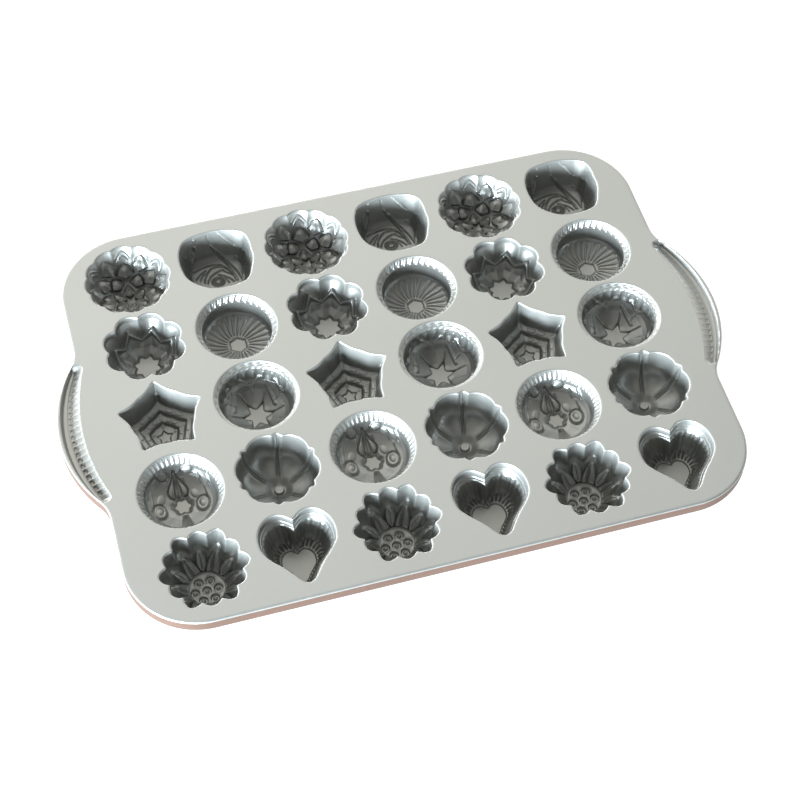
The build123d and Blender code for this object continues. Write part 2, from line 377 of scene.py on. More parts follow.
def make_rose():
    R = mouth_radius("rose")
    f = Surface("rose", [(R, LIP), (0.935 * R, 7), (0.870 * R, 13), (0.805 * R, 18.0),
                         (0.745 * R, 20.8), (0.66 * R, 21.9), (0.5 * R, 22.8), (0.28 * R, 23.5), (0.3, 23.7)], 0.40, 3)
    x, y, c = f.seen(-0.109, -0.807)
    dn = sstep(c, 0.0, 0.15) * sstep(f.D, 1.2, 3.0)
    # two long folds of the outer petals
    ridge(f, x, y, px([(740, 430), (775, 560), (830, 690), (900, 860), (960, 1000), (990, 1120), (1035, 1300)]), 0.8, 0.42, dn, (0.05, 0))
    ridge(f, x, y, px([(800, 520), (850, 640), (910, 780), (970, 900), (1030, 1040), (1075, 1150), (1110, 1300)]), 0.7, 0.42, dn, (0.1, 0))
    # petal arches on the floor
    arcs = [
        ([(330, 965), (460, 920), (580, 893), (680, 880), (770, 892), (840, 930), (905, 1000), (960, 1075)], 0.95, 0.38),
        ([(485, 1230), (500, 1150), (545, 1070), (600, 1000), (660, 950), (740, 940), (815, 950), (875, 985), (930, 1050), (970, 1130), (995, 1210), (1015, 1300)], 0.95, 0.38),
        ([(355, 1135), (450, 1040), (545, 975)], 0.8, 0.36),
        ([(420, 1175), (470, 1090), (540, 1010)], 0.6, 0.34),
        ([(535, 1250), (570, 1170), (620, 1115), (700, 1065), (790, 1030), (840, 1035)], 0.9, 0.38),
        ([(835, 1040), (900, 1105), (975, 1165)], 0.9, 0.36),
        ([(735, 1110), (820, 1150), (885, 1205), (935, 1265), (965, 1310)], 0.9, 0.36),
        ([(820, 1190), (860, 1250), (880, 1320)], 0.6, 0.40),
    ]
    for pts, size, width in arcs:
        ridge(f, x, y, px(pts), size, width, dn)
    # rolled centre
    cxp, cyp = px([(710, 1255)])[0]
    rr = np.hypot(x - cxp, (y - cyp) * 1.12)
    f.h += (1.0 * gauss(rr - 3.7, 0.5) + 0.9 * gauss(rr - 1.9, 0.42) - 0.5 * gauss(rr - 2.8, 0.35) + 0.3 * gauss(rr, 0.6)) * dn
    # folds of the wall petals
    ridge(f, x, y, px([(735, 190), (728, 300), (740, 430)]), -0.35, 0.45, dn)
    ridge(f, x, y, px([(392, 470), (385, 600), (376, 775)]), 0.45, 0.42, dn, (0.3, 0))
    ridge(f, x, y, px([(475, 420), (430, 640), (378, 775)]), 0.5, 0.42, dn, (0, 0))
    ridge(f, x, y, px([(440, 430), (448, 560)]), -0.4, 0.45, dn)
    ridge(f, x, y, px([(905, 200), (1000, 380), (1095, 540)]), 0.5, 0.35, dn)
    ridge(f, x, y, px([(1010, 300), (1060, 410), (1130, 545)]), -0.35, 0.35, dn)
    ridge(f, x, y, px([(1235, 990), (1180, 1120), (1130, 1260)]), 0.6, 0.45, dn)
    ridge(f, x, y, px([(1300, 720), (1275, 860), (1235, 990)]), 0.45, 0.45, dn)
    for (qx, qy), q in (((510, 275), 1.0), ((478, 440), 0.8), ((300, 610), 0.8), ((1250, 690), 0.8), ((1100, 800), 0.5), ((1205, 1185), 1.0)):
        mx, my = px([(qx, qy)])[0]
        f.h += q * 0.85 * gauss(np.hypot((x - mx) * 1.25, y - my), 0.70) * dn
    # the same kind of folds on the side that the front lip hides, told as a spiral
    back = sstep(-c, -0.02, 0.2) * sstep(f.D, 2.0, 4.0)
    for k, ph in enumerate((200, 245, 290, 335)):
        f.h += 0.6 * gauss(wrap(f.A - ph - 1.6 * f.D, 360.0) * f.R * 0.01745, 0.5) * back
    return f


def make_lily():
    R = mouth_radius("lily")
    a = angles("lily")
    u = np.abs(wrap(a - 22.5, 45.0)) / 22.5          # 0 on a lobe, 1 on a cusp
    e = 8.3 + 9.2 * u - 2.8 * u * u                  # upper edge of the zigzag ledge
    r1 = 20.8 - 4.4 * u + 1.1 * u * u
    r2 = r1 - 2.8 + 0.7 * u
    d2 = e + 0.40
    tip = 8.0 - 2.2 * u ** 0.8
    f = Surface("lily", [(R, LIP), (0.984 * R, 4.0), (r1 + 0.12, e - 0.15), (r1 - 0.25, e + 0.08), (r2 + 0.30, d2 - 0.10), (r2, d2 + 0.35),
                         (0.955 * r2, d2 + 0.50 * (17.6 - d2)), (0.62 * r2 + 0.38 * tip, 17.9),
                         (tip + 1.2, 20.1), (tip + 0.2, 21.2), (tip, 21.5), (0.6 * tip, 21.5), (0.3, 21.5)], 0.38)
    line = float(np.interp(0.5, [0, 1], [f.S[:, 0][np.argmin(np.abs(f.D[:, 0] - e[0]))], f.S[:, 0][np.argmin(np.abs(f.D[:, 0] - e[0] - 0.4))]]))
    f.h += 0.85 * gauss(f.S - line - 1.1, 1.0)
    low = sstep(f.D, 13.5, 16.5) * sstep(f.R, 7.9, 8.8)
    f.h += 0.12 * gauss(wrap(f.A, 45.0) * f.R * 0.01745, 0.40) * low          # ridges under the cusps
    f.h += 0.16 * gauss(wrap(f.A - 22.5, 45.0) * f.R * 0.01745, 0.4) * low * sstep(f.D, 15, 18)
    crump = sstep(f.D, 17.4, 19.2) * sstep(f.R, 7.4, 9.2) * sstep(0.35 - np.sin(f.th), 0, 0.4)
    f.h += crump * (0.34 * np.abs(value_noise(f.X, f.Y, 2.3, 5)) - 0.15 + 0.18 * value_noise(f.X, f.Y, 1.2, 6))
    return f


def make_swirl():
    R = mouth_radius("swirl") + 0.26 * np.cos(np.radians(angles("swirl") * 36))
    a = angles("swirl")
    t = np.abs(wrap(a - 90.0, 60.0)) / 30.0
    hexr = 5.3 * math.cos(math.radians(30)) / np.cos(np.radians(30 * (1 - t))) - 0.25 * np.sin(np.pi * t)
    hexr = ringsmooth(hexr, 1.2)
    f = Surface("swirl", [(R, LIP), (R - 0.55, 2.0), (21.3, 4.2), (21.15, 4.7), (21.0, 5.0), (20.85, 8.0), (20.5, 11.0),
                          (19.9, 13.0), (18.6, 14.6), (16.4, 15.7), (13.6, 16.6), (10.6, 17.4), (7.9, 18.1), (hexr + 0.8, 18.7),
                          (hexr + 0.1, 19.2), (hexr, 19.5), (0.6 * hexr, 19.5), (0.3, 19.5)], 0.38)
    band = sstep(f.D, 0.95, 1.5) * sstep(4.5 - f.D, 0, 0.6)
    ph = f.A / 10.0 - 0.45 * (f.D - 1.0) / 3.6
    w = np.cos(2 * np.pi * ph) + 0.55 * np.cos(4 * np.pi * ph + 0.8)
    f.h += band * 0.46 * np.clip(w, -1.0, 1.2)
    f.h += 0.45 * gauss(f.S - f.s_at(0, 4.75), 0.36)
    rib = sstep(f.D, 5.4, 8.5) * sstep(f.R, 5.9, 7.4)
    ph = f.A / 13.846 - 0.45 * sstep(f.D, 5.0, 17.0) - 0.5 * sstep(f.R, 17.0, 6.0)
    w = np.cos(2 * np.pi * ph)
    amp = 0.33 * sstep(f.D, 13.2, 16.0)
    f.h += rib * amp * (w + 0.25 * np.cos(4 * np.pi * ph))
    return f


def make_star():
    a = angles("star")

    def st(w, sm=1.5):
        k = max(0.0, 1 - w / 13.0)
        return ringsmooth(star_outline(24.9 - 1.45 * w, 18.3 - 1.008 * w, 1.1 * k)(a), sm)

    def step_ring(w, cut):
        k = max(0.0, 1 - w / 13.0)
        return np.minimum(ringsmooth(star_outline(24.9 - 1.45 * w - cut, 18.3 - 1.008 * w, 1.1 * k)(a), 1.2), st(0.5) - 0.15)

    f = Surface("star", [(st(0), LIP), (st(0.5), 4.0), (step_ring(2.8, 0.3), 13.9), (step_ring(3.0, 0.35), 14.2),
                         (step_ring(6.0, 0.5), 15.2), (step_ring(6.25, 0.5), 15.6),
                         (step_ring(6.9, 0.5), 17.7), (step_ring(7.1, 0.5), 17.95), (step_ring(10.1, 0.5), 18.8), (step_ring(10.3, 0.5), 19.1),
                         (step_ring(10.9, 0.5), 20.9), (step_ring(11.1, 0.5), 21.1), (st(13.3, 1.5), 21.6),
                         (ringsmooth(star_outline(5.0, 3.1, 0.0)(a), 2.0), 21.8), (ringsmooth(star_outline(4.5, 2.5, 0.0)(a), 2.0), 22.7),
                         (ringsmooth(star_outline(2.4, 1.4, 0.0)(a), 2.0), 22.7), (0.3, 22.7)], 0.34)
    tips = sstep(1.0 - np.abs(wrap(f.A - 90, 72) * f.R * 0.01745), 0.0, 0.6)
    f.h += 0.40 * tips * sstep(f.D, 7.0, 9.5) * sstep(f.R, 5.5, 7.0)
    # a low bar along each terrace, on both sides of every inner corner
    side = np.abs(wrap(f.A - 54, 72))
    for j0, j1, cut, mid, lo, hi in ((3.0, 6.0, 0.4, 14.7, 2.5, 22.0), (7.1, 10.1, 0.5, 18.4, 2.5, 20.0)):
        ra, rb = step_ring(j0, cut), step_ring(j1, cut)
        t = (ra - f.R) / np.maximum(ra - rb, 0.1)
        on = sstep(t, 0.12, 0.30) * sstep(0.90 - t, 0, 0.18) * sstep(side, lo, lo + 1.2) * sstep(hi - side, 0, 1.2)
        f.h += 0.42 * on * (np.abs(f.D - mid) < 0.9)
    return f


def make_rosette():
    R = mouth_radius("rosette") + 0.14 * np.cos(np.radians(angles("rosette") * 30))
    a = angles("rosette")
    u = np.abs(wrap(a - 90.0, 60.0)) / 30.0           # 0 in a lobe, 1 on a star tip
    star = ringsmooth(4.8 + 4.2 * u ** 2.2, 1.2)
    f = Surface("rosette", [(R, LIP), (R - 0.75, 1.7), (22.1, 2.9), (21.6, 4.0), (21.3, 6.0), (20.8, 9.0), (19.9, 12.0),
                            (18.2, 14.3), (15.9, 16.2), (13.2, 17.8), (np.maximum(10.6, star + 1.9), 19.1), (np.maximum(8.2, star + 0.9), 20.2),
                            (star + 0.35, 21.0), (star, 21.5), (0.6 * star, 21.5), (0.3, 21.5)], 0.38)
    at = f.s_at
    # rope ring at the lip and a second, lower bead ring
    b1 = gauss(f.S - at(0, 1.65), 0.70)
    f.h += b1 * 0.26 * np.cos(2 * np.pi * (f.A / 12.0 - 0.45 * (f.D - 1)))
    f.h += 0.35 * gauss(f.S - at(0, 2.75), 0.30)
    b2 = gauss(f.S - at(0, 3.7), 0.50)
    f.h += b2 * 0.22 * np.cos(2 * np.pi * f.A / 9.0)
    v = wrap(f.A - 90.0, 60.0)
    lat = np.radians(np.abs(v)) * f.R
    # arched flutes, four to a sector, the middle one running lower
    q = wrap(f.A - 90.0, 15.0) / 7.5
    arch = at(0, 4.4) + 1.6 * np.abs(q) ** 2.6
    endd = 15.2 - 2.4 * sstep(np.abs(v), 4.0, 10.0)
    body = sstep(f.S - arch, 0, 0.5) * sstep(endd - f.D, 0.0, 4.6)
    f.h += body * (-0.95 * (1 - q * q) + 0.40)
    # a chevron under the arches, a keel below it, beads where they meet
    alat = np.abs(np.radians(v) * f.R)
    d, t = segment_distance(alat, f.S, [(6.4, at(90, 10.4)), (3.2, at(90, 12.6)), (0.0, at(90, 14.6))])
    f.h += 0.20 * sstep(0.95 - d, 0, 0.7)
    f.h += 0.35 * gauss(alat, 0.42) * sstep(f.D, 14.8, 16.0) * sstep(18.6 - f.D, 0, 1.5)
    f.h += 0.2 * gauss(np.hypot(alat - 5.8, f.S - at(90, 10.3)), 0.75)
    f.h += 0.4 * gauss(np.hypot(alat, f.S - at(90, 13.6)), 0.75)
    # line between neighbouring lobes, down to the star tip
    f.h += 0.60 * gauss(wrap(f.A, 60.0) * f.R * 0.01745, 0.46) * sstep(f.D, 15.2, 17.0) * sstep(f.R, 9.2, 10.0)
    x, y, c = f.seen(-0.109, -0.687)
    dn = sstep(c, 0.0, 0.15) * sstep(f.D, 8.0, 9.5) * sstep(f.R, 9.4, 10.6)
    for pts in ([(205, 290), (188, 410), (170, 524)], [(480, 270), (497, 400), (510, 524)]):
        ridge(f, x, y, px(pts, 380, 1 / 13.8), 0.75, 0.45, dn, (0.12, 0.12), 0.55)
    return f


def make_medallion():
    R = mouth_radius("medallion") + 0.12 * np.cos(np.radians(angles("medallion") * 48))
    a = angles("medallion")
    flower = ringsmooth(4.1 + 0.5 * np.cos(np.radians(wrap(a - 60.0, 60.0) * 6)), 0.8)
    f = Surface("medallion", [(R, LIP), (R - 0.5, 1.9), (21.2, 4.8), (20.8, 5.6), (20.3, 7.9), (19.2, 10.0), (17.0, 11.8),
                              (13.8, 13.2), (10.4, 14.5), (flower + 2.6, 15.5), (flower + 0.4, 17.0), (flower, 17.5),
                              (0.6 * flower, 17.5), (0.3, 17.5)], 0.36)
    band = sstep(f.D, 1.9, 2.5) * sstep(5.6 - f.D, 0, 0.7)
    w = np.cos(2 * np.pi * f.A / 7.5)
    f.h += band * 0.36 * np.maximum(w, -0.7)
    f.h += gauss(f.S - f.s_at(0, 1.45), 0.50) * 0.45 * np.maximum(w, -0.3)
    x, y, c = f.seen(-0.044, -0.627)
    face = sstep(f.D, 5.0, 6.4) * sstep(f.R, 4.9, 5.9)
    back = sstep(-c, -0.08, 0.15)
    face = face * sstep(c, -0.05, 0.12)
    # pair of drops with a middle rib
    for sgn in (-1, 1):
        drop = [(752 + sgn * dx, yy) for dx, yy in ((8, 420), (40, 540), (95, 660), (148, 760), (158, 830), (130, 905), (70, 945))]
        ridge(f, x, y, px(drop), -0.95, 0.36, face)
        groove = [(752 + sgn * dx, yy) for dx, yy in ((6, 470), (26, 620), (44, 760), (46, 930))]
        ridge(f, x, y, px(groove), -0.70, 0.32, face)
        cx, cy = px([(752 + sgn * 98, 800)])[0]
        oval(f, x, y, cx, cy, 1.7, 4.3, 0.75, face, turn=sgn * 10)
    ridge(f, x, y, px([(752, 470), (752, 930)]), 0.75, 0.36, face, (0.4, 0))
    # ovals above the drops, patches beside them, scrolls at both sides
    for cx, cy, rx, ry, size, ring, turn in ((565, 480, 3.1, 3.6, 1.0, -0.45, 0), (965, 440, 3.4, 2.9, 1.0, -0.45, 0),
                                             (480, 900, 2.2, 3.4, 0.6, 0.0, -18), (995, 900, 2.0, 3.0, 0.6, 0.0, 18),
                                             (420, 1100, 3.6, 5.0, 1.25, -0.8, 20), (1085, 1100, 3.6, 5.0, 1.25, -0.8, -20)):
        mx, my = px([(cx, cy)])[0]
        oval(f, x, y, mx, my, rx, ry, size, face, ring, turn)
        if ring < -0.6:
            q = np.hypot((x - mx) / rx, (y - my) / ry)
            f.h += (-0.35 * gauss((q - 0.55) * 4.4, 0.55) + 0.30 * gauss(q * 4.4, 1.2)) * face
    for pts in ([(350, 700), (345, 980)], [(285, 640), (280, 860)], [(1235, 560), (1245, 830)], [(1170, 760), (1190, 1020)],
                [(420, 560), (395, 800)], [(1120, 520), (1130, 760)], [(640, 560), (610, 690)], [(870, 560), (895, 690)]):
        ridge(f, x, y, px(pts), 0.65, 0.42, face, (0.2, 0.2))
    f.h -= 2.0 * np.clip(1 - np.abs(wrap(f.A - 270.0, 360.0)) / 13.0, 0, 1) * sstep(f.R, 5.4, 8.5) * sstep(f.D, 9.0, 11.0)
    f.h += 0.35 * gauss(wrap(f.A - 238.0, 360.0) * f.R * 0.01745, 2.2) * sstep(f.R, 5.4, 7.5) * sstep(f.D, 10.0, 13.0)
    f.h += 0.35 * gauss(wrap(f.A - 302.0, 360.0) * f.R * 0.01745, 2.2) * sstep(f.R, 5.4, 7.5) * sstep(f.D, 10.0, 13.0)
    # the wall behind the front lip: plain upright ribs
    f.h += back * 0.45 * np.cos(np.radians(f.A * 24)) * sstep(f.D, 6.0, 7.0) * sstep(12.0 - f.D, 0, 1.5)
    return f


def make_pumpkin():
    R = mouth_radius("pumpkin")
    a = angles("pumpkin")
    v = wrap(a - 18.0, 60.0)
    body = ringsmooth(22.3 + 1.8 * (1.0 - (np.abs(np.abs(v) - 30.0) / 30.0) ** 2.0), 1.0)

    def shape(scale, keep):
        return scale * (keep * R + (1 - keep) * body)

    f = Surface("pumpkin", [(R, LIP), (shape(0.992, 0.9), 4.0), (shape(0.975, 0.75), 7.0), (shape(0.945, 0.6), 9.8),
                            (shape(0.90, 0.5), 12.6), (shape(0.83, 0.4), 15.3), (shape(0.73, 0.3), 17.3),
                            (shape(0.60, 0.2), 19.0), (shape(0.46, 0.1), 20.3), (8.4, 21.3), (6.2, 22.6), (4.0, 24.0),
                            (2.8, 24.3), (0.3, 24.3)], 0.40, 9)
    f.h += 1.5 * sstep(3.0 - f.R, 0, 0.5)
    lobe = np.abs(wrap(f.A - 18.0, 60.0)) / 30.0
    amp = 0.45 * sstep(f.D, 3.0, 12.0) * sstep(f.R, 6.6, 10.5)
    f.h += -amp * (np.sin(np.pi * np.clip(lobe, 0, 1) / 2) ** 0.8) + amp * 0.6
    m = wrap(f.A - 18.0, 60.0) * f.R * 0.01745
    on = sstep(f.D, 1.6, 3.0) * sstep(f.R, 7.4, 9.5)
    f.h += on * (0.34 * gauss(np.abs(m) - 0.70, 0.30) - 0.45 * gauss(m, 0.32) - 0.25 * gauss(np.abs(m) - 1.7, 0.5))
    return f


def make_sunflower():
    R = mouth_radius("sunflower")
    f = Surface("sunflower", [(R, LIP), (0.978 * R, 5.0), (0.955 * R, 9.0), (0.92 * R, 11.4), (0.5 * 0.88 * R + 0.5 * 19.8, 13.2),
                              (17.6, 16.2), (14.9, 19.4), (12.6, 21.9), (11.4, 22.9), (10.6, 23.2), (6.0, 23.5), (0.3, 23.6)], 0.38, 6)
    # six long leaves, six broad ones between them
    for n, ph, r_tip, r_foot, wide, lift in ((6, 0.0, 20.3, 10.9, 4.7, 2.1), (6, 30.0, 20.0, 11.2, 3.3, 2.2)):
        m = wrap(f.A - ph, 60.0) * f.R * 0.01745
        t = np.clip((r_tip - f.R) / (r_tip - r_foot), 0, 1)
        if ph == 0.0:
            w = wide * np.sin(np.pi * np.clip(t * 0.62 + 0.02, 0, 1)) ** 0.95
        else:
            w = wide * np.sin(np.pi * np.clip(t * 0.97 + 0.02, 0, 1)) ** 0.9
        q = w - np.abs(m)
        live = sstep(r_tip - f.R, 0, 1.3) * sstep(f.R - r_foot, -0.4, 0.4) * (f.D > 8)
        inside = sstep(q, -0.12, 0.25) * live
        prof = lift * (0.30 + 0.75 * sstep(t, 0.0, 0.40)) + 0.40 * gauss(q - 0.30, 0.30) * sstep(t, 0.02, 0.2) + 0.60 * gauss(m, 0.34) * sstep(t, 0.02, 0.2) - 0.30 * np.clip(q / wide, 0, 1)
        if ph == 0.0:
            prof = prof - 0.45 * gauss(m - 1.15, 0.34) + 0.35 * gauss(m - 1.8, 0.32)
        f.h = np.where(inside > 0, np.maximum(f.h, prof * inside), f.h)
        f.h -= 0.30 * gauss(q + 0.5, 0.40) * live * (1 - inside) * (f.h < 0.3)
    # seed disc: raised rim, seven round pits with a bump in each
    f.h += 0.60 * gauss(f.R - 10.5, 0.65)
    cells = [(0.0, 0.0)] + [(6.5 * math.cos(math.radians(k)), 6.5 * math.sin(math.radians(k))) for k in range(2, 362, 60)]
    near = np.full(f.R.shape, 99.0)
    for cx, cy in cells:
        near = np.minimum(near, np.hypot(f.X + 0.5 - cx, f.Y + 0.9 - cy))
    on = sstep(10.2 - f.R, 0, 0.8)
    f.h += on * (-1.25 * sstep(2.65 - near, 0, 0.65) + 1.15 * sstep(1.45 - near, 0.0, 1.0) + 0.25 * gauss(near - 2.9, 0.40))
    return f


def make_heart():
    R = mouth_radius("heart")
    rin = R - 2.7
    low = 0.45 * R * (1 - 0.05 * np.cos(np.radians(angles("heart"))))
    f = Surface("heart", [(R, LIP), (R - 0.5, 3.0), (R - 0.8, 4.3), (R - 1.5, 4.7), (R - 1.9, 5.8), (rin - 0.10, 6.6), (rin - 0.55, 7.4),
                          (0.94 * rin - 0.6, 11.0), (0.83 * rin - 0.3, 16.0), (0.71 * rin, 19.9), (low + 1.6, 21.1),
                          (low + 0.8, 21.3), (low + 0.15, 21.6), (low, 22.4), (0.6 * low, 22.4), (0.3, 22.4)], 0.38)
    # flutes follow the outline, evenly by its length
    p = np.stack([R * np.cos(f.th), R * np.sin(f.th)], 1)
    seg = np.linalg.norm(np.roll(p, -1, 0) - p, axis=1)
    run = np.concatenate([[0], np.cumsum(seg)[:-1]]) / seg.sum()
    q = np.abs(wrap(run * 34 + 0.25, 1.0)) * 2                 # 0 mid-flute, 1 on a ridge
    qq = np.broadcast_to(q, f.R.shape)
    start = 6.0 + 1.1 * qq ** 2.4
    on = sstep(f.D - start, 0.0, 0.7) * sstep(21.2 - f.D, 0.0, 0.4)
    cleft = 1 - (1 - sstep(np.abs(wrap(f.A - 90.0, 360.0)), 8.0, 26.0)) * sstep(12.5 - f.D, 0, 3.5)
    f.h += on * (0.26 - 0.50 * np.clip(1 - qq * qq, 0, 1)) * (0.80 - 0.35 * sstep(f.D, 9, 15)) * cleft
    f.h += 1.6 * gauss(qq - 1.0, 0.36) * sstep(f.D, 17.8, 20.2) * sstep(21.2 - f.D, -0.1, 0.4)
    return f


MAKERS = {"zinnia": make_zinnia, "rose": make_rose, "lily": make_lily, "swirl": make_swirl, "star": make_star,
          "rosette": make_rosette, "medallion": make_medallion, "pumpkin": make_pumpkin,
          "sunflower": make_sunflower, "heart": make_heart}


# ------------------------------------------------------------------- meshes
def shell_mesh(name, rings, slots, pole0, pole1, sharp=48.0):
    """Closed mesh from rings of points (list of (n,3) arrays) with a point at each end."""
    P = np.array(rings)
    nr, nt = P.shape[:2]
    verts = np.vstack([P.reshape(-1, 3), [pole0], [pole1]]) * MM
    i, j = np.meshgrid(np.arange(nr - 1), np.arange(nt), indexing="ij")
    k = (j + 1) % nt
    quads = np.stack([i * nt + j, (i + 1) * nt + j, (i + 1) * nt + k, i * nt + k], -1).reshape(-1, 4)
    mats = np.repeat(np.array(slots[:nr - 1]), nt)
    jj = np.arange(nt)
    kk = (jj + 1) % nt
    a = np.stack([np.full(nt, nr * nt), jj, kk], -1)
    last = (nr - 1) * nt
    b = np.stack([np.full(nt, nr * nt + 1), last + kk, last + jj], -1)
    me = bpy.data.meshes.new(name)
    me.vertices.add(len(verts))
    me.vertices.foreach_set("co", verts.astype(np.float32).ravel())
    loops = np.concatenate([quads.ravel(), a.ravel(), b.ravel()])
    sizes = np.concatenate([np.full(len(quads), 4), np.full(len(a) + len(b), 3)])
    starts = np.concatenate([[0], np.cumsum(sizes)[:-1]])
    me.loops.add(len(loops))
    me.loops.foreach_set("vertex_index", loops.astype(np.int32))
    me.polygons.add(len(sizes))
    me.polygons.foreach_set("loop_start", starts.astype(np.int32))
    me.polygons.foreach_set("loop_total", sizes.astype(np.int32))
    me.polygons.foreach_set("material_index", np.concatenate(
        [mats, np.full(len(a), slots[0]), np.full(len(b), slots[-1])]).astype(np.int32))
    me.update(calc_edges=True)
    me.validate()
    me.polygons.foreach_set("use_smooth", np.ones(len(sizes), bool))
    me.set_sharp_from_angle(angle=math.radians(sharp))
    return me


def cup_mesh(design):
    f = MAKERS[design]()
    inner = f.points()                         # rows from the lip down to the centre
    inner[0] = np.stack([f.X[0], f.Y[0], np.full(len(f.a), TOP - LIP)], -1)
    p, n = mouth_offsets(design)
    lip = []
    for k in range(1, 8):
        t = math.radians(90.0 * k / 7)
        o = LIP * (1 - math.cos(t))
        lip.append(np.column_stack([p + n * o, np.full(len(p), TOP - LIP * (1 - math.sin(t)))]))
    edge = edge_loop(design)
    rows = [inner[i] for i in range(len(inner) - 1, -1, -1)] + lip
    rows.append(np.column_stack([edge, np.full(len(p), TOP)]))
    silver = len(rows) - 1
    rows.append(np.column_stack([edge, np.full(len(p), UNDER)]))
    # outside of the wall: at least as wide as the pan's body there, and always clear of the inside
    a = angles(design)
    r = MOUTH[design](a)
    env = np.max([MOUTH[design](a + d) for d in (-8, -6, -4, -2, 0, 2, 4, 6, 8)], 0)
    env = ringsmooth(np.maximum(0.55 * env + 0.45 * r, r), 2.5) + 1.0
    re = np.hypot(edge[:, 0], edge[:, 1])
    bottom = SHELL_BOTTOM.get(design, BOTTOM[design])
    span = UNDER - bottom
    c, s = np.cos(np.radians(a)), np.sin(np.radians(a))
    mean = float(np.mean(env))
    rin = np.hypot(inner[..., 0], inner[..., 1])
    din = TOP - inner[..., 2]
    prof = [(1.0, 1.0), (0.97, 0.995), (0.86, 0.99), (0.74, 0.975), (0.62, 0.95), (0.50, 0.912), (0.38, 0.86),
            (0.27, 0.79), (0.17, 0.705), (0.09, 0.62), (0.035, 0.545), (0.008, 0.50), (0.0, 0.47), (0.0, 0.30), (0.0, 0.12)]
    for fr, sc in prof:
        m = 0.15 + 0.85 * fr
        rad = sc * (m * env + (1 - m) * mean)
        z = bottom + span * fr
        if z > bottom:
            above = np.where(din >= TOP - z - 1.3, rin, 0.0).max(0)   # widest inside at or below this level
            rad = np.maximum(rad, ringsmooth(above, 1.5) + 1.1)
        rad = np.minimum(rad, re)
        rows.append(np.column_stack([rad * c, rad * s, np.full(len(a), z)]))
    slots = [0] * silver + [1] * (len(rows) - silver)
    z0 = float(inner[-1][:, 2].mean())
    return shell_mesh("cup_" + design, rows, slots, (0, 0, z0), (0, 0, bottom))


def raw_mesh(name, verts, faces, mats, smooth=True, sharp=40.0):
    me = bpy.data.meshes.new(name)
    me.from_pydata([tuple(v) for v in (np.asarray(verts) * MM)], [], [tuple(int(q) for q in f) for f in faces])
    me.polygons.foreach_set("material_index", np.asarray(mats, np.int32))
    me.polygons.foreach_set("use_smooth", np.full(len(faces), smooth))
    me.validate()
    me.update()
    if smooth:
        me.set_sharp_from_angle(angle=math.radians(sharp))
    return me


def piece(name, mesh, nodes, materials, location=(0, 0, 0)):
    ob = bpy.data.objects.new(name, mesh)
    ob.location = [v * MM for v in location]
    bpy.context.scene.collection.objects.link(ob)
    if not mesh.materials:
        for m in materials:
            mesh.materials.append(m)
    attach(ob, "root")
    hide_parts(*nodes)
    return ob


# -------------------------------------------------------------- rim and deck
def arc(cx, cy, r, a0, a1, n):
    return [(cx + r * math.cos(math.radians(a0 + (a1 - a0) * i / n)),
             cy + r * math.sin(math.radians(a0 + (a1 - a0) * i / n))) for i in range(n + 1)]


GRIP_HALF = math.sqrt((GRIP_R + GRIP_FILLET) ** 2 - (HALF_X + GRIP_FILLET - GRIP_CX) ** 2)


def rim_path(sign):
    """Points and outward directions of the outer edge of one half of the rim."""
    kx, ky = HALF_X - CORNER_R, HALF_Y - CORNER_R
    pts, out = [], []
    for i in range(5):
        pts.append((HALF_X, GRIP_HALF + (ky - GRIP_HALF) * i / 5))
        out.append((1.0, 0.0))
    for i in range(41):
        q = math.radians(90.0 * i / 40)
        pts.append((kx + CORNER_R * math.cos(q), ky + CORNER_R * math.sin(q)))
        out.append((math.cos(q), math.sin(q)))
    for i in range(1, 24):
        pts.append((kx - 2 * kx * i / 24, HALF_Y))
        out.append((0.0, 1.0))
    for i in range(41):
        q = math.radians(90 + 90.0 * i / 40)
        pts.append((-kx + CORNER_R * math.cos(q), ky + CORNER_R * math.sin(q)))
        out.append((math.cos(q), math.sin(q)))
    for i in range(1, 6):
        pts.append((-HALF_X, ky + (GRIP_HALF - ky) * i / 5))
        out.append((-1.0, 0.0))
    pts, out = np.array(pts), np.array(out)
    if sign < 0:
        pts, out = -pts, -out
    return pts, out


def edge_profile():
    """Section of the edge: offset from the outer face, height, material of the run that follows."""
    pts = [(-RIM_W, TOP, 0), (-2.4, TOP, 0)]
    r = 1.35
    for i in range(7):
        t = math.radians(90.0 * i / 6)
        pts.append((-r + r * math.sin(t), TOP - r + r * math.cos(t), 0 if i < 5 else 1))
    r2 = 0.7
    zb = TOP - RIM_T
    pts.append((0.0, (TOP - r + zb + r2) / 2, 1))
    for i in range(5):
        t = math.radians(90.0 * i / 4)
        pts.append((-r2 + r2 * math.cos(t), zb + r2 - r2 * math.sin(t), 1))
    return pts


def rim_mesh(name, sign):
    pts, out = rim_path(sign)
    prof = edge_profile() + [(-RIM_W + 0.3, TOP - RIM_T, 1), (-RIM_W, TOP - RIM_T + 0.3, 1)]
    m = len(prof)
    verts, faces, mats = [], [], []
    for p, o in zip(pts, out):
        for d, z, _ in prof:
            verts.append((p[0] + o[0] * d, p[1] + o[1] * d, z))
    for i in range(len(pts) - 1):
        for j in range(m):
            k = (j + 1) % m
            faces.append((i * m + j, i * m + k, (i + 1) * m + k, (i + 1) * m + j))
            mats.append(prof[j][2])
    faces.append(tuple(range(m))[::-1])
    faces.append(tuple((len(pts) - 1) * m + j for j in range(m)))
    mats += [1, 1]
    return raw_mesh(name, verts, faces, mats, True, 35.0)


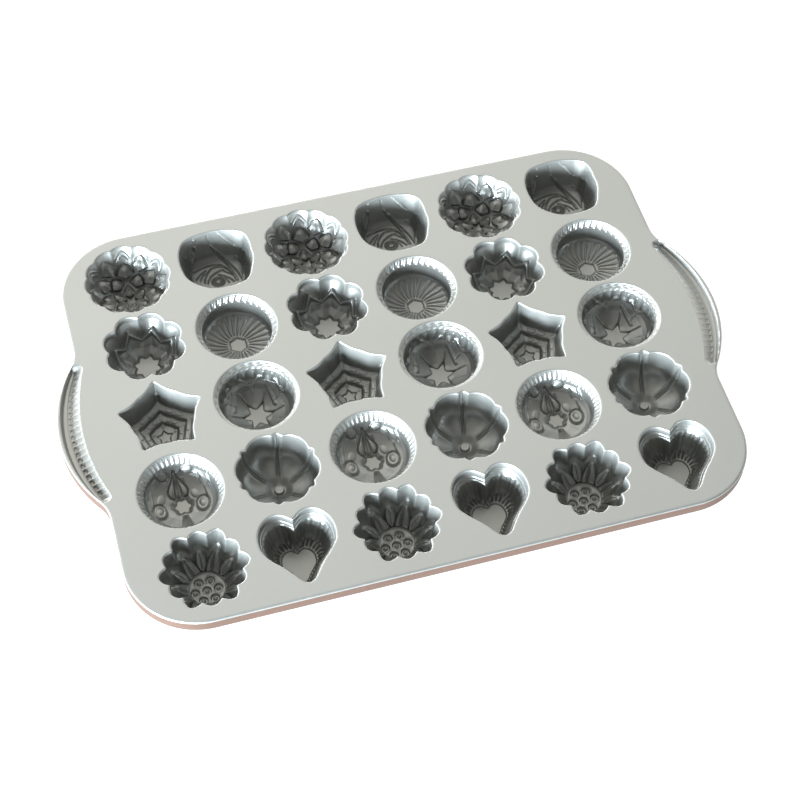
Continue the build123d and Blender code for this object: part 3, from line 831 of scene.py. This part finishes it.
def deck_outline():
    """Outer boundary of the deck plate, counter-clockwise."""
    kx, ky, r = HALF_X - CORNER_R, HALF_Y - CORNER_R, CORNER_R - RIM_W
    pts = []
    pts += [(GRIP_X0, -GRIP_HALF), (GRIP_X0, GRIP_HALF)]
    back, _ = rim_path(1)
    _, out = rim_path(1)
    pts += [tuple(q) for q in (back - RIM_W * out)]
    pts += [(-GRIP_X0, GRIP_HALF), (-GRIP_X0, -GRIP_HALF)]
    front, out = rim_path(-1)
    pts += [tuple(q) for q in (front - RIM_W * out)]
    return pts


def deck_mesh():
    outer = deck_outline()
    pts, edges, loops = list(outer), [], [list(range(len(outer)))]
    n = len(outer)
    edges += [(i, (i + 1) % n) for i in range(n)]
    cups = []
    for row in range(ROWS):
        for col in range(COLS):
            cx, cy = centre(row, col)
            loop = edge_loop(LAYOUT[row][col % 2]) + np.array([cx, cy])
            base = len(pts)
            pts += [tuple(q) for q in loop]
            m = len(loop)
            edges += [(base + i, base + (i + 1) % m) for i in range(m)]
            loops.append([base + i for i in range(m)])
            rel = loop - np.array([cx, cy])
            ang = np.arctan2(rel[:, 1], rel[:, 0]) % (2 * np.pi)
            order = np.argsort(ang)
            cups.append((cx, cy, ang[order], np.hypot(rel[:, 0], rel[:, 1])[order]))
    res = delaunay_2d_cdt([Vector(p) for p in pts], edges, [], 1, 1e-7)
    vs = np.array([(v[0], v[1]) for v in res[0]])
    tris = [t for t in res[2]]
    cen = np.array([vs[list(t)].mean(0) for t in tris])
    keep = np.ones(len(tris), bool)
    for cx, cy, ang, rad in cups:
        d = cen - np.array([cx, cy])
        q = np.hypot(d[:, 0], d[:, 1])
        th = np.arctan2(d[:, 1], d[:, 0]) % (2 * np.pi)
        lim = np.interp(th, np.r_[ang[-1] - 2 * np.pi, ang, ang[0] + 2 * np.pi], np.r_[rad[-1], rad, rad[0]])
        keep &= ~(q < lim - 1e-4)
    keep &= ~((np.abs(cen[:, 0]) > GRIP_X0) & (np.abs(cen[:, 1]) < GRIP_HALF))
    tris = [t for t, k in zip(tris, keep) if k]
    nv = len(vs)
    verts = [(x, y, TOP) for x, y in vs] + [(x, y, UNDER) for x, y in vs]
    faces, mats = [], []
    count = {}
    for t in tris:
        a, b, c = [int(q) for q in t]
        area = (vs[b][0] - vs[a][0]) * (vs[c][1] - vs[a][1]) - (vs[b][1] - vs[a][1]) * (vs[c][0] - vs[a][0])
        if area < 0:
            a, b, c = a, c, b
        faces.append((a, b, c)); mats.append(0)
        faces.append((nv + a, nv + c, nv + b)); mats.append(1)
        for e in ((a, b), (b, c), (c, a)):
            count[e] = count.get(e, 0) + 1
    for a, b in list(count):
        if (b, a) not in count:
            faces.append((a, nv + a, nv + b, b)); mats.append(1)
    me = raw_mesh("deck_plate", verts, faces, mats, False)
    return me


def grip_outer_x(y):
    y = abs(y)
    tx = GRIP_CX + GRIP_R * (HALF_X + GRIP_FILLET - GRIP_CX) / (GRIP_R + GRIP_FILLET)
    ty = GRIP_R * GRIP_HALF / (GRIP_R + GRIP_FILLET)
    if y <= ty:
        return GRIP_CX + math.sqrt(GRIP_R ** 2 - y ** 2)
    return HALF_X + GRIP_FILLET - math.sqrt(max(GRIP_FILLET ** 2 - (y - GRIP_HALF) ** 2, 0.0))


def trough_depth(x, y, ribbed=1.0):
    """Depth of the finger trough below the deck, for the grip on the +X side."""
    ay = np.minimum(np.abs(y), TROUGH_END_Y)
    xi = TROUGH_IN[0] + np.sqrt(TROUGH_IN[1] ** 2 - ay ** 2)
    xo = TROUGH_OUT[0] + np.sqrt(TROUGH_OUT[1] ** 2 - ay ** 2)
    mid, half = (xi + xo) / 2, (xo - xi) / 2
    over = np.maximum(np.abs(y) - TROUGH_END_Y, 0.0)
    c = (x - mid) / half                                  # -1 on the deck side, 1 on the outer side
    rad = np.hypot(x - mid, over) / half
    edge = np.where(over > 0, 1 - rad, 1 - np.abs(c)) * half          # mm inside the trough
    outer = sstep(1.0 - c, 0.0, 0.36)
    slope = sstep(c, -1.15, 0.42)
    slope = np.clip((c + 1.0) / 1.35, 0, 1) ** 0.95
    deep = TROUGH_DEEP * np.minimum(outer, slope)
    endfall = sstep(TROUGH_END_Y + half - np.abs(y), 0.0, 3.6)
    deep = deep * np.where(edge > 0, 1.0, 0.0) * endfall
    # ribs across the inner slope, with a pocket at the low end of each recess
    live = sstep(TROUGH_END_Y - 1.0 - np.abs(y), 0.0, 2.0)
    q = np.abs(wrap(y, 4.0)) / 2.0                        # 0 on a recess, 1 on a rib line
    field = sstep(c, -0.98, -0.80) * sstep(0.18 - c, 0.0, 0.12)
    deep = deep + ribbed * live * field * (0.26 * (1 - q ** 3) - 0.05)
    pocket = sstep(c, -0.30, -0.12) * sstep(0.20 - c, 0.0, 0.10) * sstep(0.72 - q, 0.0, 0.2)
    deep = deep + ribbed * live * pocket * (0.28 + 0.55 * sstep(-y, -12.0, 34.0))
    return np.where(edge > 0, np.maximum(deep, 0.0), 0.0) * sstep(edge, 0.0, 0.5)


def grip_mesh(name, side):
    ys = np.concatenate([np.linspace(-GRIP_HALF, -50, 12), np.linspace(-50, 50, 321)[1:-1], np.linspace(50, GRIP_HALF, 12)])
    prof = edge_profile()
    top = 84
    verts, faces, mats = [], [], []
    r = 1.35
    section = None
    for y in ys:
        xo = grip_outer_x(y)
        xin = xo - r
        xs = GRIP_X0 + (xin - GRIP_X0) * np.linspace(0, 1, top)
        z = TOP - trough_depth(xs, np.full(top, y), 1.0 if side < 0 else 0.35)
        z[0] = TOP
        pts = [(x, zz, 0) for x, zz in zip(xs, z)]
        pts += [(xo + d, zz, mt) for d, zz, mt in prof[3:]]
        pts += [(GRIP_X0 + 0.4, TOP - RIM_T, 1), (GRIP_X0, TOP - RIM_T + 0.4, 1)]
        section = [p[2] for p in pts]
        for x, zz, _ in pts:
            verts.append((side * x, y, zz))
    m = len(section)
    for i in range(len(ys) - 1):
        for j in range(m):
            k = (j + 1) % m
            q = (i * m + j, i * m + k, (i + 1) * m + k, (i + 1) * m + j)
            faces.append(q if side > 0 else q[::-1])
            mats.append(section[j] if j < m - 1 else 1)
    a, b = tuple(range(m))[::-1], tuple((len(ys) - 1) * m + j for j in range(m))
    if side < 0:
        a, b = a[::-1], b[::-1]
    faces += [a, b]
    mats += [1, 1]
    return raw_mesh(name, verts, faces, mats, True, 42.0)


# ------------------------------------------------------------------ materials
def nodes_of(name):
    m = bpy.data.materials.new(name)
    m.use_nodes = True
    nt = m.node_tree
    return m, nt, nt.nodes["Principled BSDF"]


def mapped_noise(nt, where, scale, detail=2.0, rough=0.5, stretch=(1, 1, 1), turn=0.0):
    mp = nt.nodes.new("ShaderNodeMapping")
    mp.inputs["Scale"].default_value = stretch
    mp.inputs["Rotation"].default_value = (0, 0, turn)
    nt.links.new(where, mp.inputs["Vector"])
    n = nt.nodes.new("ShaderNodeTexNoise")
    n.inputs["Scale"].default_value = scale
    n.inputs["Detail"].default_value = detail
    n.inputs["Roughness"].default_value = rough
    nt.links.new(mp.outputs["Vector"], n.inputs["Vector"])
    return n.outputs["Fac"]


def ramp(nt, fac, stops):
    r = nt.nodes.new("ShaderNodeValToRGB")
    r.color_ramp.elements[0].position, r.color_ramp.elements[0].color = stops[0][0], (*stops[0][1], 1)
    r.color_ramp.elements[1].position, r.color_ramp.elements[1].color = stops[-1][0], (*stops[-1][1], 1)
    for p, c in stops[1:-1]:
        e = r.color_ramp.elements.new(p)
        e.color = (*c, 1)
    nt.links.new(fac, r.inputs["Fac"])
    return r.outputs["Color"]


def scalar(nt, fac, lo, hi, a=0.0, b=1.0):
    r = nt.nodes.new("ShaderNodeMapRange")
    r.inputs["From Min"].default_value = a
    r.inputs["From Max"].default_value = b
    r.inputs["To Min"].default_value = lo
    r.inputs["To Max"].default_value = hi
    nt.links.new(fac, r.inputs["Value"])
    return r.outputs["Result"]


def math_node(nt, op, a, b):
    n = nt.nodes.new("ShaderNodeMath")
    n.operation = op
    for i, v in enumerate((a, b)):
        if isinstance(v, (int, float)):
            n.inputs[i].default_value = v
        else:
            nt.links.new(v, n.inputs[i])
    return n.outputs[0]


def silver():
    m, nt, b = nodes_of("satin_silver")
    pos = nt.nodes.new("ShaderNodeNewGeometry").outputs["Position"]
    broad = mapped_noise(nt, pos, 9.0, 2.0, 0.5)
    mottle = mapped_noise(nt, pos, 160.0, 3.0, 0.6)
    grain = mapped_noise(nt, pos, 2600.0, 2.0, 0.6)
    fac = math_node(nt, "ADD", math_node(nt, "MULTIPLY", broad, 0.6), math_node(nt, "MULTIPLY", mottle, 0.4))
    col = ramp(nt, fac, [(0.30, (0.362, 0.366, 0.350)), (0.52, (0.378, 0.382, 0.366)), (0.72, (0.388, 0.392, 0.376))])
    # painted shade: the base colour is darkened deep in the moulds, down to 0.80 at the bottom, standing in for the
    # shade that falls inside the cups
    split = nt.nodes.new("ShaderNodeSeparateXYZ")
    nt.links.new(pos, split.inputs[0])
    deep = scalar(nt, split.outputs["Z"], 0.80, 1.0, 0.008, 0.0225)
    painted_depth_shade = nt.nodes.new("ShaderNodeVectorMath")
    painted_depth_shade.operation = "SCALE"
    nt.links.new(col, painted_depth_shade.inputs[0])
    nt.links.new(deep, painted_depth_shade.inputs["Scale"])
    nt.links.new(painted_depth_shade.outputs["Vector"], b.inputs["Base Color"])
    b.inputs["Metallic"].default_value = 0.74
    nt.links.new(scalar(nt, mottle, 0.35, 0.41, 0.3, 0.7), b.inputs["Roughness"])
    bump = nt.nodes.new("ShaderNodeBump")
    bump.inputs["Strength"].default_value = 0.10
    bump.inputs["Distance"].default_value = 0.00008
    nt.links.new(grain, bump.inputs["Height"])
    nt.links.new(bump.outputs["Normal"], b.inputs["Normal"])
    return m


def coat():
    m, nt, b = nodes_of("rose_tan_coat")
    pos = nt.nodes.new("ShaderNodeNewGeometry").outputs["Position"]
    broad = mapped_noise(nt, pos, 14.0, 3.0, 0.55)
    mottle = mapped_noise(nt, pos, 420.0, 3.0, 0.6)
    grain = mapped_noise(nt, pos, 2200.0, 2.0, 0.6)
    fac = math_node(nt, "ADD", math_node(nt, "MULTIPLY", broad, 0.5), math_node(nt, "MULTIPLY", mottle, 0.5))
    col = ramp(nt, fac, [(0.30, (0.098, 0.056, 0.041)), (0.50, (0.109, 0.063, 0.046)), (0.72, (0.118, 0.069, 0.051))])
    nt.links.new(col, b.inputs["Base Color"])
    b.inputs["Metallic"].default_value = 0.25
    nt.links.new(scalar(nt, mottle, 0.42, 0.56, 0.3, 0.7), b.inputs["Roughness"])
    bump = nt.nodes.new("ShaderNodeBump")
    bump.inputs["Strength"].default_value = 0.22
    bump.inputs["Distance"].default_value = 0.00012
    nt.links.new(grain, bump.inputs["Height"])
    nt.links.new(bump.outputs["Normal"], b.inputs["Normal"])
    return m


SILVER, COAT = silver(), coat()
MATS = [SILVER, COAT]

# --------------------------------------------------------------- the object
meshes = {d: cup_mesh(d) for d in MAKERS}
for row in range(ROWS):
    for col in range(COLS):
        design = LAYOUT[row][col % 2]
        cx, cy = centre(row, col)
        node = "cup_r%dc%d_%s" % (row + 1, col + 1, design)
        piece("moulded_" + node, meshes[design], [node], MATS, (cx, cy, 0))

piece("deck_plate", deck_mesh(), ["deck_row_%d" % k for k in range(1, 6)], MATS)
piece("edge_back", rim_mesh("edge_back", 1), ["rim_back"], MATS)
piece("edge_front", rim_mesh("edge_front", -1), ["rim_front"], MATS)
piece("hand_grip_left", grip_mesh("hand_grip_left", -1), ["grip_left"], MATS)
piece("hand_grip_right", grip_mesh("hand_grip_right", 1), ["grip_right"], MATS)

# ------------------------------------------------------------------- staging
floor_mat, nt, b = nodes_of("studio_floor")
pos = nt.nodes.new("ShaderNodeNewGeometry").outputs["Position"]
nt.links.new(ramp(nt, mapped_noise(nt, pos, 3.0, 2.0), [(0.3, (0.28, 0.28, 0.28)), (0.7, (0.30, 0.30, 0.30))]), b.inputs["Base Color"])
b.inputs["Roughness"].default_value = 0.6
b.inputs["Specular IOR Level"].default_value = 0.2
b.inputs["Emission Color"].default_value = (1.0, 1.0, 1.0, 1)
b.inputs["Emission Strength"].default_value = 0.92
fm = bpy.data.meshes.new("studio_floor")
fm.from_pydata([(-8, -8, 0), (8, -8, 0), (8, 8, 0), (-8, 8, 0)], [], [(0, 1, 2, 3)])
fm.materials.append(floor_mat)
floor = bpy.data.objects.new("studio_floor", fm)
bpy.context.scene.collection.objects.link(floor)


def toward(az, el):
    a, e = math.radians(az), math.radians(el)
    return Vector((math.cos(e) * math.cos(a), math.cos(e) * math.sin(a), math.sin(e)))


key_data = bpy.data.lights.new("key_left", "AREA")
key_data.shape = "RECTANGLE"
key_data.size, key_data.size_y = 1.60, 0.56
key_data.energy = 340.0
key_data.color = (0.80, 0.92, 1.0)
key = bpy.data.objects.new("key_left", key_data)
key.location = toward(220, 10) * 2.4
key.rotation_euler = (-toward(220, 10)).to_track_quat("-Z", "Y").to_euler()
bpy.context.scene.collection.objects.link(key)

world = bpy.data.worlds.new("studio") if not bpy.context.scene.world else bpy.context.scene.world
bpy.context.scene.world = world
world.use_nodes = True
wn = world.node_tree
for n in list(wn.nodes):
    wn.nodes.remove(n)
wo = wn.nodes.new("ShaderNodeOutputWorld")
wb = wn.nodes.new("ShaderNodeBackground")
tc = wn.nodes.new("ShaderNodeTexCoord")
sep = wn.nodes.new("ShaderNodeSeparateXYZ")
wn.links.new(tc.outputs["Generated"], sep.inputs[0])
elev = math_node(wn, "ARCSINE", sep.outputs[2], 0.0)
turn = math_node(wn, "FRACT", math_node(wn, "ADD", math_node(wn, "DIVIDE", math_node(
    wn, "ARCTAN2", sep.outputs[1], sep.outputs[0]), 2 * math.pi), 1.0), 0.0)


def scaled(colour, by, strength):
    m = wn.nodes.new("ShaderNodeVectorMath")
    m.operation = "SCALE"
    if isinstance(colour, tuple):
        m.inputs[0].default_value = colour
    else:
        wn.links.new(colour, m.inputs[0])
    wn.links.new(math_node(wn, "MULTIPLY", by, strength), m.inputs["Scale"])
    return m.outputs["Vector"]


def belt(el, width, levels, power=4):
    """A level belt of light round the studio: (azimuth, level, colour) stops at one height."""
    q = math_node(wn, "DIVIDE", math_node(wn, "SUBTRACT", elev, math.radians(el)), math.radians(width))
    q = math_node(wn, "MULTIPLY", q, q)
    if power == 4:
        q = math_node(wn, "MULTIPLY", q, q)
    fall = math_node(wn, "EXPONENT", math_node(wn, "MULTIPLY", q, -1.0), 0.0)
    peak = max(v for _, v, _ in levels)
    stops = [(az / 360.0, tuple(v / peak * c for c in col)) for az, v, col in levels]
    stops.append((1.0, stops[0][1]))
    return scaled(ramp(wn, turn, stops), fall, peak)


def sky_patch(az, el, kappa, level, colour):
    dot = wn.nodes.new("ShaderNodeVectorMath")
    dot.operation = "DOT_PRODUCT"
    dot.inputs[1].default_value = toward(az, el)
    wn.links.new(tc.outputs["Generated"], dot.inputs[0])
    e = math_node(wn, "EXPONENT", math_node(wn, "MULTIPLY", math_node(wn, "SUBTRACT", dot.outputs["Value"], 1.0), kappa), 0.0)
    return scaled(colour, e, level)


WHITE, COOL, WARM = (1.0, 1.0, 1.0), (0.82, 0.93, 1.0), (1.0, 0.985, 0.925)
parts = [
    belt(6.5, 5.0, [(0, 0.8, WHITE), (40, 2.0, WHITE), (80, 3.0, WHITE), (120, 8.5, WHITE), (160, 8.0, COOL),
                    (200, 4.0, COOL), (235, 3.2, COOL), (268, 2.3, COOL), (310, 0.7, WHITE)]),
    belt(22, 10, [(0, 0.1, WHITE), (75, 0.3, WHITE), (123, 0.6, WHITE), (174, 0.3, COOL), (226, 0.6, COOL),
                  (277, 0.1, WHITE), (328, 0.1, WHITE)]),
    sky_patch(86, 43, 9.0, 1.03, WARM),
    sky_patch(100, 74, 14.0, 0.25, WARM),
    sky_patch(255, 70, 20.0, 0.34, WARM),
    sky_patch(138, 43, 12.0, 0.55, WARM),
    sky_patch(32, 28, 8.0, 0.35, WARM),
]
total = parts[0]
for v in parts[1:]:
    ad = wn.nodes.new("ShaderNodeVectorMath")
    ad.operation = "ADD"
    wn.links.new(total, ad.inputs[0])
    wn.links.new(v, ad.inputs[1])
    total = ad.outputs["Vector"]
wn.links.new(total, wb.inputs["Color"])
wb.inputs["Strength"].default_value = 1.8
wn.links.new(wb.outputs["Background"], wo.inputs["Surface"])

# -------------------------------------------------------------------- camera
cam_data = bpy.data.cameras.new("camera")
cam_data.lens = 1810.84 / 800.0 * 36.0
cam_data.sensor_width = 36.0
cam_data.clip_end = 50.0
cam = bpy.data.objects.new("camera", cam_data)
w = Vector((2.52093443, -0.343376567, 0.126523198))
rot = Matrix.Rotation(w.length, 3, w.normalized())
right, down, fwd = rot[0], rot[1], rot[2]
t = Vector((-0.0478148546, -0.374986064, 19.0691406))
place = -(rot.transposed() @ t) * (PITCH_X * MM)
basis = Matrix((right, -down, -fwd)).transposed()
cam.matrix_world = Matrix.Translation(place + Vector((0, 0, TOP * MM))) @ basis.to_4x4()
bpy.context.scene.collection.objects.link(cam)
bpy.context.scene.camera = cam

vs = bpy.context.scene.view_settings
vs.view_transform = "Standard"
vs.look = "None"
vs.exposure = 0.0
vs.gamma = 1.0
